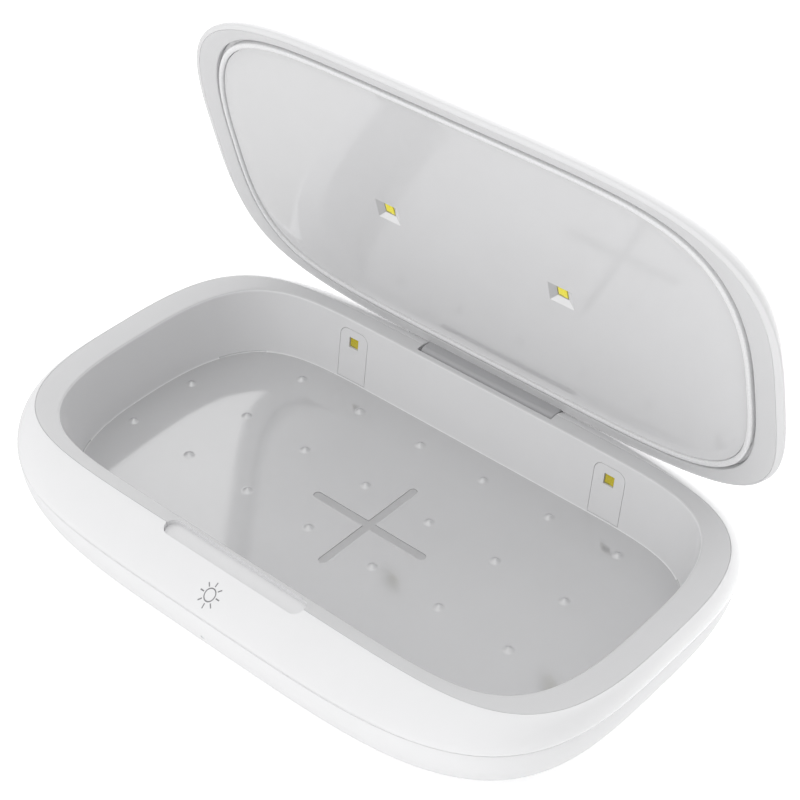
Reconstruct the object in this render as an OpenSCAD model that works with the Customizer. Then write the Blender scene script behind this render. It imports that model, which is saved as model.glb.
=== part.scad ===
// Ultraviolet sanitizer box for phones and small things, with a wireless charging floor.
// The lid is drawn standing open, which is how the box rests.
// Origin: centre of the footprint on the table. X runs along the box, Y to the hinge, Z up.

/* [Base casing] */
// Length of the casing at its parting line
body_length = 218; // [214:0.5:222]
// Width of the casing at its parting line
body_width = 142.6; // [140:0.2:145]
// How far the casing swells beyond the rim at the two ends
end_swell = 1.9; // [1:0.1:2.5]
// Height of the parting line between lower shell and upper casing
parting_height = 25.1; // [24:0.1:26]
// Width of the hairline at the parting line
parting_gap = 0.2; // [0.1:0.05:0.4]
// Wall thickness of the plastic shells
shell_wall = 2; // [1.8:0.1:2.2]
// How far the lower shell draws in from the parting line to the bottom
foot_draw = 23; // [20:0.5:26]

/* [Tub] */
// Length of the grey rim around the tub
rim_length = 217; // [215:0.5:219]
// Width of the grey rim around the tub
rim_width = 112.6; // [111:0.2:114]
// Length of the tub opening at the rim
opening_length = 199.2; // [196:0.2:202]
// Width of the tub opening at the rim
opening_width = 103.4; // [102:0.2:104]
// Height of the rim at its inner edge
rim_height = 34; // [33.5:0.1:34.2]
// Height of the tub floor
floor_height = 11; // [10.5:0.1:11.5]
// Spacing of the rest bumps on the floor
bump_pitch = 26; // [24:0.5:26]
// Height of each rest bump
bump_height = 0.9; // [0.6:0.1:1.2]
// Half length of the charging mark along the box
mark_reach = 22.6; // [18:0.2:24]
// Width of the charging mark
mark_width = 2.8; // [2:0.1:3.5]

/* [Finger notch] */
// Length of the finger notch in the front of the rim
notch_length = 54; // [40:1:60]
// Depth of the finger notch below the rim
notch_depth = 1.8; // [1.2:0.1:2]

/* [Lid] */
// How far the lid is closed from its open stop
lid_closing = 0; // [0:1:75]
// Angle between the closed lid and its open stop
lid_swing = 75.2; // [70:0.1:76]
// Length over the lid
lid_length = 216.7; // [216:0.1:218]
// Width over the lid
lid_width = 117.5; // [117:0.1:118]
// Height of the lid above its joint face
lid_height = 14; // [13:0.5:16]
// Spacing of the two lamp pockets in the lid
pocket_spacing = 66; // [60:1:70]

/* [Hinge] */
// Length of the hinge block between the two pins
block_length = 53.2; // [50:0.2:54]
// Radius of the hinge pins
pin_radius = 1.2; // [1.1:0.05:1.25]
// Radial running clearance of the pins in the casing
pin_clearance = 0.03; // [0.02:0.01:0.05]

/* [Lamps] */
// Side of the square lamp package
lamp_side = 3.5; // [3:0.1:3.8]
// Distance of each wall lamp from the middle of the box
wall_lamp_x = 52; // [48:1:56]
// Height of the wall lamps above the table
wall_lamp_z = 25.6; // [24:0.1:26]

/* [Hidden] */
// Points around every outline, a multiple of four
ring_points = 64;
// Largest inset outline steps of a rounded wall
round_steps = 6;
// Exponents of the outlines: first along X, second along Y
rim_shape = [6.7, 3.1];
parting_shape = [4.1, 3.42];
opening_shape = [7.9, 2.9];
floor_shape = [8, 2.5];
// Exponents of the lid outlines: along X, along Y in front, along Y at the hinge
lid_edge_shape = [5, 3.2, 4];
lid_wide_shape = [4.84, 2.95, 3.4];
lid_top_shape = [4.5, 4.6, 3];
groove_shape = [6.1, 2.6, 3.3];
// Corner rounding of the casing section, between a chamfer at 1 and an arc at 2
casing_round = 1.25;
// Corner rounding of the lower shell and of the lid's hinge side
dome_round = 2.2;
// Corner rounding of the lid's front and ends
lid_round = 1.61;
// Draw-in of the lid dome from its widest line to its flat top
lid_inset = 25;
// Height of the lid's widest line above its joint face
lid_low = 0.8;
// Height of the underside of the lower shell, above the soles of the feet
sole_height = 1;
// Height of the rim at its outer edge
rim_crest = rim_height + 0.6;
// Gap between neighbouring pieces of one body
seam = 0.15;
// Draw-in of the tub from the rim down to the floor
floor_half_length = opening_length / 2 - 1.9;
floor_half_width = opening_width / 2 - 2.9;
// Thickness of the tub wall, floor and rim
tub_wall = 1.8;
// Underside of the tub floor
tub_under = floor_height - tub_wall;
// Underside of the rim
rim_under = rim_crest - 2.2;
// Hinge axis
axis_y = 56.5;
axis_z = 32;
// Offset of the closed lid from the middle of the box
lid_shift = -0.2;
// Height of the closed lid's joint face
joint_z = 35.4;
// Half width of the lid towards the hinge, at its widest line there
lid_back = 57.25;
// Height of that line above the joint face
lid_back_low = 3.2;
// How fast the lid's hinge side leans in below that line
lid_back_fall = 0.2;
// Draw-in of the lid's hinge side from that line to the flat top
lid_back_inset = 50;
// Outline of the seam between lid frame and lid shell
lid_seam_length = lid_length - 5;
lid_seam_width = lid_width - 3.5;
// How much narrower the seam is towards the hinge
seam_draw = 1.75;
// Outline of the groove inside the lid frame
groove_length = 198.5;
groove_width = 108.6;
// How much narrower the groove is towards the hinge
groove_draw = 2.65;
// Thickness of the lid frame
frame_thick = 2.6;
// Visible face of the reflector above the joint face
reflector_rise = 1.1;
// Depth of the lamp pockets
pocket_depth = 1;
// Front edge of the hinge recess in the rim
recess_y = 53.6;
// Back edge of the hinge recess in the casing
recess_back = 62.4;
// Half length of the hinge recess
recess_half = block_length / 2 + 0.5;
// Outer end of the hinge pins
pin_end = 36;
// Inner end of the hinge pins
pin_start = 14;
// Position of the two screws that hold the hinge block to the lid frame
block_screw_y = 53;
// Position of the lid magnet on the front edge of the reflector
magnet_y = -52;
// Foot and screw position
foot_x = 68;
foot_y = 32;
// Tilt of the tub's back wall
back_draft = atan(2.9 / (rim_height - floor_height));
// Middle of the charging coil
coil_outer = 24;

// ---- outlines and lofts ----

function spread(u) = 90 * u * u / (u * u + (1 - u) * (1 - u));

function turn(i) =
  let (quarter = ring_points / 4, q = floor(i / quarter), u = (i % quarter) / quarter)
  q % 2 == 0 ? 90 * q + spread(u) : 90 * (q + 1) - spread(1 - u);

function signed_power(v, e) = v == 0 ? 0 : sign(v) * pow(abs(v), e);

// One outline of half length a and half width b at height z
function outline(z, a, b, shape) = [for (i = [0 : ring_points - 1])
  [a * signed_power(cos(turn(i)), 2 / shape[0]), b * signed_power(sin(turn(i)), 2 / shape[1]), z]];

// The same with a half width of its own on the hinge side
function lid_outline(z, a, b, back, shape) = [for (i = [0 : ring_points - 1])
  let (c = cos(turn(i)), n = sin(turn(i)), half = n < 0 ? b : back, e = n < 0 ? shape[1] : shape[2])
  [a * signed_power(c, 2 / shape[0]), half * signed_power(n, 2 / e), z]];

function seam_outline(z, grow, shape) =
  lid_outline(z, lid_seam_length / 2 + grow, lid_seam_width / 2 + grow,
    lid_seam_width / 2 + grow - seam_draw, shape);

function groove_outline(z, grow) =
  lid_outline(z, groove_length / 2 + grow, groove_width / 2 + grow,
    groove_width / 2 + grow - groove_draw, groove_shape);

function mix(p, q, t) = p + (q - p) * t;

function band(k, j) = [for (i = [0 : ring_points - 1], half = [0, 1])
  let (n = (i + 1) % ring_points, even = floor(4 * i / ring_points) % 2 == 0,
    a = k * ring_points + i, b = j * ring_points + i,
    c = j * ring_points + n, d = k * ring_points + n)
  even ? (half == 0 ? [a, b, c] : [a, c, d]) : (half == 0 ? [a, b, d] : [b, c, d])];

// Solid through a list of outlines; the first is capped below, the last above
module loft(rings) {
  last = len(rings) - 1;
  points = [for (r = rings) each r];
  bottom = [for (i = [0 : ring_points - 1]) i];
  top = [for (i = [0 : ring_points - 1]) last * ring_points + ring_points - 1 - i];
  faces = concat([bottom], [for (k = [0 : last - 1]) each band(k, k + 1)], [top]);
  polyhedron(points = points, faces = faces, convexity = 6);
}

// Closed hoop through a list of outlines, up the outside and down the inside
module hoop(rings) {
  last = len(rings) - 1;
  points = [for (r = rings) each r];
  faces = [for (k = [0 : last]) each band(k, (k + 1) % len(rings))];
  polyhedron(points = points, faces = faces, convexity = 6);
}

// Straight piece of round wire between two points
module wire_piece(p, q, r) {
  d = q - p;
  l = norm(d);
  translate(p)
    rotate([0, acos(d[2] / l), atan2(d[1], d[0])])
      cylinder(h = l, r = r, $fn = 24);
}

// Round wire through a list of points, with a slightly swollen bend at each
module wire(points, r) {
  for (i = [0 : len(points) - 2])
    wire_piece(points[i], points[i + 1], r);
  for (i = [1 : len(points) - 2])
    translate(points[i])
      sphere(r = 1.05 * r, $fn = 24);
}

// Block given by its two far corners
module block(p, q) {
  translate(p)
    cube(q - p);
}

// Cylinder along X between two positions, centred on y and z
module axle(x0, x1, y, z, r) {
  translate([x0, y, z])
    rotate([0, 90, 0])
      cylinder(h = x1 - x0, r = r, $fn = 48);
}

// Flat bar with round ends along X
module slot_shape(length, width) {
  translate([-length / 2 + width / 2, 0])
    circle(d = width, $fn = 32);
  translate([length / 2 - width / 2, 0])
    circle(d = width, $fn = 32);
  square([length - width, width], center = true);
}

// ---- casing sections ----

// Outline of the casing's outer face; t runs from the rim at 0 to the parting line at 90
function casing_ring(t, inward) =
  let (u = pow(sin(t), 2 / casing_round), w = pow(cos(t), 2 / casing_round),
    a0 = rim_length / 2 + seam, b0 = rim_width / 2 + seam,
    a1 = body_length / 2 - inward, b1 = body_width / 2 - inward)
  outline(parting_height + (rim_crest - inward - parting_height) * w,
    mix(a0, a1, u) + end_swell * sin(2 * t), mix(b0, b1, u), mix(rim_shape, parting_shape, u));

// Outline of the lower shell; t runs from the bottom at 0 to the parting line at 90
function shell_ring(t, inward) =
  let (top = parting_height - parting_gap, low = sole_height + inward,
    draw = foot_draw * (1 - pow(sin(t), 2 / dome_round)))
  outline(low + (top - low) * (1 - pow(cos(t), 2 / dome_round)),
    body_length / 2 - inward - draw, body_width / 2 - inward - draw, parting_shape);

module casing_block(p, q) {
  steps = [for (k = [round_steps : -1 : 0]) casing_ring(90 * k / round_steps, 0)];
  intersection() {
    loft(steps);
    block(p, q);
  }
}

module notch_cut(grow, z0) {
  translate([0, -56.3, z0])
    linear_extrude(height = 10)
      slot_shape(notch_length + 2 * grow, 5.8 + 2 * grow);
}

module lower_shell() {
  lip = parting_height - 2;
  top = parting_height - parting_gap;
  edge = body_length / 2;
  side = body_width / 2;
  color([0.93, 0.93, 0.92])
    difference() {
      union() {
        loft(concat(
          [for (k = [0 : round_steps + 1]) shell_ring(90 * k / (round_steps + 1), 0)],
          [outline(top, edge - 0.9, side - 0.9, parting_shape),
            outline(lip, edge - 0.9, side - 0.9, parting_shape),
            outline(lip, edge - shell_wall, side - shell_wall, parting_shape)],
          [for (k = [round_steps - 1 : -1 : 0]) shell_ring(80 * k / (round_steps - 1), shell_wall)]));
        for (x = [-foot_x, foot_x], y = [-foot_y, foot_y])
          translate([x, y, 2.5])
            cylinder(h = 3.1, r = 4, $fn = 32);
      }
      for (x = [-foot_x, foot_x], y = [-foot_y, foot_y])
        translate([x, y, 0]) {
          cylinder(h = 2, r = 6.1, $fn = 48);
          cylinder(h = 3.7, r = 2.6, $fn = 32);
          cylinder(h = 8, r = 1.5, $fn = 32);
        }
      translate([0, -60, 16])
        rotate([90, 0, 0])
          cylinder(h = 15, r = 0.75, $fn = 24);
      translate([0, 62, 15.25])
        rotate([-90, 0, 0])
          linear_extrude(height = 12)
            slot_shape(9.6, 3.8);
    }
}

module upper_casing() {
  tongue = parting_height - 1.8;
  edge = body_length / 2;
  side = body_width / 2;
  ledge = rim_under - 0.1;
  color([0.97, 0.97, 0.97])
    difference() {
      union() {
        hoop(concat(
          [for (k = [round_steps : -1 : 0]) casing_ring(90 * k / round_steps, 0)],
          [outline(ledge, rim_length / 2 + seam, rim_width / 2 + seam, rim_shape),
            outline(ledge, rim_length / 2 - 1.8, rim_width / 2 - 1.8, rim_shape),
            outline(ledge - 1.4, rim_length / 2 - 1.8, rim_width / 2 - 1.8, rim_shape)],
          [for (k = [1 : round_steps]) casing_ring(90 * k / round_steps, shell_wall)],
          [outline(tongue, edge - shell_wall, side - shell_wall, parting_shape),
            outline(tongue, edge - 1.05, side - 1.05, parting_shape),
            outline(parting_height, edge - 1.05, side - 1.05, parting_shape)]));
        casing_block([-38, recess_y + 0.25, 27.4], [38, recess_back + 1.4, ledge]);
        casing_block([-38, rim_width / 2 + 0.4, 27.4], [38, recess_back + 1.4, 40]);
        axle(recess_half, 38, axis_y, axis_z, 1.9);
        axle(-38, -recess_half, axis_y, axis_z, 1.9);
      }
      block([-recess_half, 50, 29.2], [recess_half, recess_back, 40]);
      axle(-pin_end - 0.4, pin_end + 0.4, axis_y, axis_z, pin_radius + pin_clearance);
      axle(pin_end, 45, axis_y, axis_z, 0.8);
      notch_cut(seam, rim_crest - 4.6);
    }
}

// ---- tub ----

module tub_body() {
  fa = floor_half_length;
  fb = floor_half_width;
  oa = opening_length / 2;
  ob = opening_width / 2;
  ra = rim_length / 2;
  rb = rim_width / 2;
  loft([
    outline(tub_under, fa - 1.2, fb - 1.2, floor_shape),
    outline(tub_under + 1.2, fa + 1, fb + 1, floor_shape),
    outline(rim_under, oa + tub_wall, ob + tub_wall, opening_shape),
    outline(rim_under, ra, rb, rim_shape),
    outline(rim_crest - 0.3, ra, rb, rim_shape),
    outline(rim_crest, ra - 0.3, rb - 0.3, rim_shape),
    outline(rim_height + 0.05, oa + 0.8, ob + 0.8, opening_shape),
    outline(rim_height - 0.15, oa + 0.2, ob + 0.2, opening_shape),
    outline(rim_height - 0.8, oa, ob, opening_shape),
    outline(floor_height + 1.4, fa + 0.1, fb + 0.1, floor_shape),
    outline(floor_height + 0.4, fa - 0.4, fb - 0.4, floor_shape),
    outline(floor_height, fa - 1.4, fb - 1.4, floor_shape)]);
}

// Outline of the lamp cover in the back wall, standing just clear of the floor
module cover_prism(x, grow) {
  half = 5.75 + grow;
  top = 30.3 + grow;
  foot = floor_height + 0.6 - grow;
  corner = 3;
  translate([x, 60, 0])
    rotate([90, 0, 0])
      linear_extrude(height = 13.6) {
        translate([-half, foot])
          square([2 * half, top - corner - foot]);
        translate([-half + corner, foot])
          square([2 * (half - corner), top - foot]);
        translate([-half + corner, top - corner])
          circle(r = corner, $fn = 32);
        translate([half - corner, top - corner])
          circle(r = corner, $fn = 32);
      }
}

// Low dome on the floor, rooted a little below the floor's surface
module rest_bump() {
  radius = 1.7;
  root = 0.6;
  intersection() {
    translate([0, 0, bump_height - radius])
      sphere(r = radius, $fn = 24);
    translate([-radius, -radius, -root])
      cube([2 * radius, 2 * radius, root + bump_height + 1]);
  }
}

module charge_mark_shape(grow) {
  slot_shape(2 * mark_reach + 2 * grow, mark_width + 2 * grow);
  rotate(90)
    slot_shape(2 * mark_reach - 1.4 + 2 * grow, mark_width + 2 * grow);
}

module tub() {
  color([0.80, 0.80, 0.79])
    difference() {
      union() {
        difference() {
          tub_body();
          notch_cut(0, rim_crest - notch_depth);
        }
        translate([0, -56.3, rim_crest - notch_depth - 1.6])
          linear_extrude(height = 1.6)
            slot_shape(notch_length, 5.8);
        for (i = [-3.5 : 1 : 3.5], j = [-1.5 : 1 : 1.5])
          if (abs(i) < 3 || abs(j) < 1)
            translate([i * bump_pitch, j * bump_pitch, floor_height])
              rest_bump();
        for (x = [-foot_x, foot_x], y = [-foot_y, foot_y])
          translate([x, y, 5.8])
            cylinder(h = tub_under - 5, r = 3.6, $fn = 32);
      }
      translate([0, 0, floor_height - 0.5])
        linear_extrude(height = 1)
          charge_mark_shape(0);
      block([-recess_half, recess_y, 28], [recess_half, 60, 40]);
      axle(recess_half - 1, 38.2, axis_y, axis_z, 2.02);
      axle(-38.2, 1 - recess_half, axis_y, axis_z, 2.02);
      axle(pin_end, 45, axis_y, axis_z, 0.8);
      cover_prism(wall_lamp_x, seam);
      cover_prism(-wall_lamp_x, seam);
      for (x = [-foot_x, foot_x], y = [-foot_y, foot_y])
        translate([x, y, 5])
          cylinder(h = 5, r = 1.3, $fn = 32);
    }
}

module charge_mark() {
  color([0.55, 0.55, 0.54])
    translate([0, 0, floor_height - 0.5])
      linear_extrude(height = 0.3)
        charge_mark_shape(-0.05);
}

// Sun symbol printed over the touch key, a ring with eight rays
module key_symbol() {
  face = [for (k = [0 : round_steps]) let (t = 90 * k / round_steps,
    u = pow(sin(t), 2 / casing_round), w = pow(cos(t), 2 / casing_round))
    [-mix(rim_width / 2 + seam, body_width / 2, u), mix(parting_height, rim_crest, w)]];
  low = [for (p = face) p + [0, 0.03]];
  high = [for (k = [round_steps : -1 : 0]) face[k] + [0, 0.13]];
  squash = 0.94;
  color([0.5, 0.5, 0.51])
    intersection() {
      translate([-10, 0, 0])
        rotate([90, 0, 90])
          linear_extrude(height = 20)
            polygon(concat(low, high));
      translate([0, -66.1, 20])
        linear_extrude(height = 20)
          scale([1, squash]) {
            difference() {
              circle(r = 1.93, $fn = 48);
              circle(r = 1.6, $fn = 48);
            }
            for (a = [0 : 45 : 315])
              rotate(a)
                translate([2.35, -0.17])
                  square([1.3, 0.34]);
          }
    }
}

module lamp_cover(x) {
  color([0.88, 0.88, 0.87])
    difference() {
      intersection() {
        tub_body();
        cover_prism(x, 0);
      }
      block([x - 2.1, 45, wall_lamp_z - 2.1], [x + 2.1, 60, wall_lamp_z + 2.1]);
    }
}

module lamp_cover_left() {
  lamp_cover(-wall_lamp_x);
}

module lamp_cover_right() {
  lamp_cover(wall_lamp_x);
}

// Frame on the back wall at a lamp, with -Y looking into the tub
module at_wall_lamp(x) {
  depth = floor_half_width + (wall_lamp_z - floor_height) * tan(back_draft);
  translate([x, depth - 0.1, wall_lamp_z])
    rotate([-back_draft, 0, 0])
      children();
}

module wall_lamp(x) {
  color([0.85, 0.80, 0.25])
    at_wall_lamp(x)
      block([-lamp_side / 2, 0.5, -lamp_side / 2], [lamp_side / 2, 2.2, lamp_side / 2]);
}

module wall_lamp_left() {
  wall_lamp(-wall_lamp_x);
}

module wall_lamp_right() {
  wall_lamp(wall_lamp_x);
}

module wall_lamp_board(x) {
  color([0.92, 0.92, 0.90])
    at_wall_lamp(x)
      block([-4.5, 2.25, -6], [4.5, 3.25, 4]);
}

module wall_lamp_board_left() {
  wall_lamp_board(-wall_lamp_x);
}

module wall_lamp_board_right() {
  wall_lamp_board(wall_lamp_x);
}

// ---- electronics under and beside the tub ----

module charging_coil() {
  turns = 7;
  first = 11;
  color([0.72, 0.42, 0.22])
    translate([0, 0, tub_under - 0.6])
      for (k = [0 : turns - 1])
        rotate_extrude($fn = 64)
          translate([first + k * (coil_outer - first) / (turns - 1), 0])
            circle(r = 0.5, $fn = 16);
}

module ferrite_sheet() {
  color([0.18, 0.18, 0.19])
    translate([0, 0, tub_under - 2.1])
      linear_extrude(height = 0.9)
        square([52, 52], center = true);
}

module main_board() {
  color([0.08, 0.35, 0.20])
    difference() {
      block([-42, 54, 12], [42, 64.6, 13.2]);
      for (x = [-38, 38])
        translate([x, 58, 11])
          cylinder(h = 4, r = 1.1, $fn = 24);
    }
}

module usb_socket() {
  color([0.75, 0.75, 0.76])
    difference() {
      translate([0, 61.5, 15.25])
        rotate([-90, 0, 0])
          linear_extrude(height = 7.8)
            slot_shape(9.1, 3.3);
      translate([0, 63, 15.25])
        rotate([-90, 0, 0])
          linear_extrude(height = 8)
            slot_shape(8.4, 2.6);
    }
  color([0.12, 0.12, 0.12])
    block([-3.4, 62.9, 14.9], [3.4, 68.3, 15.6]);
  color([0.75, 0.75, 0.76])
    block([-4, 61.6, 13.25], [4, 64.6, 13.9]);
}

module control_chip() {
  color([0.10, 0.10, 0.11])
    block([14, 56, 13.25], [21, 63, 14.2]);
}

module driver_chip() {
  color([0.10, 0.10, 0.11])
    block([-22, 57, 13.25], [-17, 62, 14.4]);
}

module power_inductor() {
  color([0.25, 0.25, 0.26])
    translate([-30, 60, 13.25])
      cylinder(h = 3.2, r = 4, $fn = 48);
}

module board_plug() {
  color([0.95, 0.95, 0.92])
    difference() {
      block([26, 56, 13.25], [36, 61, 17]);
      block([27, 57, 14.25], [35, 60, 18]);
    }
}

module base_ribbon() {
  color([0.85, 0.85, 0.83])
    union() {
      block([28, -53.5, 4.4], [34, 53.9, 4.7]);
      block([28, 53.6, 4.4], [34, 53.9, 12.6]);
      block([28, -53.5, 4.4], [34, -53.2, 12.6]);
    }
}

module front_board() {
  color([0.08, 0.35, 0.20])
    block([-22, -64.4, 12], [36, -53.6, 13.2]);
}

module touch_plug() {
  color([0.30, 0.30, 0.31])
    translate([0, -60, 13.25])
      cylinder(h = 15, r = 2.8, $fn = 32);
}

// Magnetic switch on three legs, just under the rim where the lid's magnet comes down
module lid_sensor() {
  color([0.10, 0.10, 0.11])
    union() {
      block([15.5, -57.6, 26.5], [19.5, -56.1, 30.2]);
      for (x = [16.2, 17.3, 18.4])
        block([x, -57.1, 13.25], [x + 0.4, -56.7, 27]);
    }
}

module indicator_lamp() {
  color([0.95, 0.95, 0.85])
    block([-1, -64.35, 13.25], [1, -63.25, 17]);
}

module light_pipe() {
  color([0.90, 0.92, 0.93])
    translate([0, -64.45, 16])
      rotate([90, 0, 0])
        cylinder(h = 5.35, r = 0.65, $fn = 24);
}

// Lamp lead of the lid, lying on the hinge axis where it crosses over
module hinge_wire() {
  color([0.20, 0.20, 0.21])
    wire([[12.2, axis_y, axis_z], [41, axis_y, axis_z], [41, 58, 19], [31.5, 59.2, 17.6]], 0.5);
}

module shell_screws() {
  color([0.55, 0.55, 0.56])
    for (x = [-foot_x, foot_x], y = [-foot_y, foot_y])
      translate([x, y, 2.2])
        difference() {
          union() {
            cylinder(h = 1.5, r = 2.3, $fn = 32);
            cylinder(h = 7.5, r = 1.28, $fn = 32);
          }
          translate([-0.35, -1.5, -1])
            cube([0.7, 3, 1.7]);
          translate([-1.5, -0.35, -1])
            cube([3, 0.7, 1.7]);
        }
}

module rubber_feet() {
  color([0.30, 0.30, 0.30])
    for (x = [-foot_x, foot_x], y = [-foot_y, foot_y])
      translate([x, y, 0])
        rotate_extrude($fn = 48)
          polygon([[0, 0], [5.4, 0], [6, 0.5], [6, 1.95], [0, 1.95]]);
}

// ---- lid, drawn closed and swung open about the hinge axis ----

module in_lid() {
  translate([0, axis_y, axis_z])
    rotate([lid_closing - lid_swing, 0, 0])
      translate([0, -axis_y, -axis_z])
        children();
}

module on_joint() {
  translate([0, lid_shift, joint_z])
    children();
}

// Half width of the lid towards the hinge at height z
function back_width(z, inward) =
  let (up = max(z - lid_back_low, 0) / (lid_height - inward - lid_back_low),
    fall = max(lid_back_low - z, 0))
  lid_back - inward - lid_back_fall * fall * fall
    - lid_back_inset * (1 - pow(cos(asin(pow(up, dome_round / 2))), 2 / dome_round));

// Outline of the lid dome; t runs from the widest line at 0 to the top at 90
function lid_ring(t, inward) =
  let (in_x = pow(cos(t), 2 / lid_round), up = pow(sin(t), 2 / lid_round),
    z = lid_low + (lid_height - inward - lid_low) * up, draw = inward + lid_inset * (1 - in_x))
  lid_outline(z, lid_length / 2 - draw, lid_width / 2 - draw, back_width(z, inward),
    mix(lid_wide_shape, lid_top_shape, up));

module lid_shell() {
  color([0.97, 0.97, 0.97])
    in_lid()
      difference() {
        on_joint()
          loft(concat(
            [for (k = [round_steps : -1 : 0]) lid_ring(20 + 70 * k / round_steps, shell_wall)],
            [seam_outline(3, -1.2, lid_edge_shape),
              seam_outline(2.8, -0.6, lid_edge_shape),
              seam_outline(1, -0.6, lid_edge_shape),
              seam_outline(0.1, 0, lid_edge_shape),
              seam_outline(0, 0.2, lid_edge_shape),
              seam_outline(0.15, 0.8, mix(lid_edge_shape, lid_wide_shape, 0.4))],
            [for (k = [0 : round_steps + 2]) lid_ring(90 * k / (round_steps + 2), 0)]));
        block([-block_length / 2 - 0.1, 45, 38.4], [block_length / 2 + 0.1, 57.5, 40.5]);
        block([-block_length / 2 - 0.1, 55.1, 35], [block_length / 2 + 0.1, 60, 40.5]);
        for (x = [-20, 20])
          translate([x, block_screw_y, 38])
            cylinder(h = 3.6, r = 1.9, $fn = 32);
      }
}

module lid_frame() {
  color([0.86, 0.86, 0.85])
    in_lid()
      difference() {
        on_joint()
          hoop([
            seam_outline(0.25, -seam, lid_edge_shape),
            seam_outline(1, -seam - 0.6, lid_edge_shape),
            seam_outline(frame_thick, -seam - 0.6, lid_edge_shape),
            groove_outline(frame_thick, 0),
            groove_outline(0.3, 0),
            groove_outline(0, 0.3),
            seam_outline(0, -seam - 0.25, lid_edge_shape)]);
        for (x = [-20, 20])
          translate([x, block_screw_y, 35.9])
            cylinder(h = 6, r = 0.75, $fn = 24);
      }
}

module lid_seal() {
  color([0.92, 0.92, 0.91])
    in_lid()
      on_joint()
        hoop([
          groove_outline(1.7, -1),
          groove_outline(1.7, -2.6),
          groove_outline(0.1, -2.6),
          groove_outline(-0.35, -2.25),
          groove_outline(-0.5, -1.8),
          groove_outline(-0.35, -1.35),
          groove_outline(0.1, -1)]);
}

module pocket(x) {
  wide = 4.4;
  front = 3.2;
  rear = 4.2;
  inner = 2.05;
  z0 = -0.6;
  z1 = pocket_depth;
  grow = z0 / pocket_depth;
  w0 = wide - (wide - inner) * grow;
  f0 = front - (front - inner) * grow;
  r0 = rear - (rear - inner) * grow;
  translate([x, 0.3, reflector_rise])
    polyhedron(
      points = [[-w0, -f0, z0], [w0, -f0, z0], [w0, r0, z0], [-w0, r0, z0],
        [-inner, -inner, z1], [inner, -inner, z1], [inner, inner, z1], [-inner, inner, z1]],
      faces = [[0, 1, 2, 3], [7, 6, 5, 4], [0, 4, 5, 1], [1, 5, 6, 2], [2, 6, 7, 3], [3, 7, 4, 0]]);
  translate([x - inner, 0.3 - inner, reflector_rise + 0.5])
    cube([2 * inner, 2 * inner, 6]);
}

module reflector() {
  rise = reflector_rise;
  half = pocket_spacing / 2;
  color([0.84, 0.84, 0.84])
    in_lid()
      difference() {
        on_joint()
          difference() {
            union() {
              loft([
                groove_outline(rise, -9),
                groove_outline(rise - 0.15, -5.2),
                groove_outline(rise - 0.65, -2.75),
                groove_outline(1.8, -2.75),
                groove_outline(1.8, -0.1),
                groove_outline(frame_thick + 0.1, -0.1),
                groove_outline(frame_thick + 0.1, 0.6),
                groove_outline(frame_thick + 0.9, 0.6),
                groove_outline(frame_thick + 0.9, -4.2),
                groove_outline(rise + 1.4, -5)]);
              for (x = [-half, half])
                block([x - 7, -5.7, rise + 0.6], [x + 7, 6.3, rise + pocket_depth + 0.9]);
            }
            pocket(-half);
            pocket(half);
          }
        block([-28, 44.5, 37.9], [28, 60, 41]);
      }
}

module lid_lamp(x) {
  color([0.85, 0.80, 0.25])
    in_lid()
      on_joint()
        translate([x, 0.3, 0])
          block([-lamp_side / 2, -lamp_side / 2, reflector_rise + pocket_depth],
            [lamp_side / 2, lamp_side / 2, reflector_rise + pocket_depth + 0.9]);
}

module lid_lamp_left() {
  lid_lamp(-pocket_spacing / 2);
}

module lid_lamp_right() {
  lid_lamp(pocket_spacing / 2);
}

module lid_lamp_board() {
  z0 = reflector_rise + pocket_depth + 0.95;
  color([0.92, 0.92, 0.90])
    in_lid()
      on_joint()
        block([-pocket_spacing / 2 - 8, -5.2, z0], [pocket_spacing / 2 + 8, 5.8, z0 + 1.2]);
}

module lid_magnet() {
  color([0.60, 0.60, 0.62])
    in_lid()
      translate([17.5, magnet_y, 38.95])
        cylinder(h = 1.2, r = 1.25, $fn = 32);
}

// Flat lead from the hinge axis up the block and across the lid, or the duct around it
module lead_strip(t, width) {
  level = 41.4;
  low = 40.1;
  translate([10 - width / 2, 0, 0])
    rotate([90, 0, 90])
      linear_extrude(height = width)
        polygon([[56.5 - t, 32], [56.2 - t, 36.8], [55.4 - t, 38.4], [51.7 - 0.4 * t, level - t],
          [46.5 + 0.4 * t, level - t], [44 + 0.4 * t, low - t], [3, low - t], [3, low + t],
          [44 - 0.4 * t, low + t], [46.5 - 0.4 * t, level + t], [51.7 + 0.4 * t, level + t],
          [55.2 + t, 38.9], [56.2 + t, 37.2], [56.5 + t, 32]]);
}

module hinge_block() {
  profile = [[54.28, 32.6], [55.18, 35.45], [55.18, 38.5], [47.5, 38.5], [47.5, 40.3], [54.6, 40.3],
    [57, 38.2], [57.8, 35.6], [58.75, 32.6]];
  color([0.78, 0.78, 0.77])
    in_lid()
      difference() {
        union() {
          translate([-block_length / 2, 0, 0])
            rotate([90, 0, 90])
              linear_extrude(height = block_length)
                polygon(profile);
          axle(-block_length / 2, block_length / 2, axis_y, axis_z, 2.3);
        }
        axle(-block_length / 2 - 1, -pin_start, axis_y, axis_z, pin_radius);
        axle(pin_start, block_length / 2 + 1, axis_y, axis_z, pin_radius);
        axle(9, pin_start + 1, axis_y, axis_z, 0.9);
        lead_strip(0.6, 1.4);
        for (x = [-20, 20])
          translate([x, block_screw_y, 34])
            cylinder(h = 10, r = 1.05, $fn = 24);
      }
}

module hinge_pin() {
  color([0.72, 0.72, 0.74])
    in_lid()
      axle(-pin_end, -pin_start, axis_y, axis_z, pin_radius);
}

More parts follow.
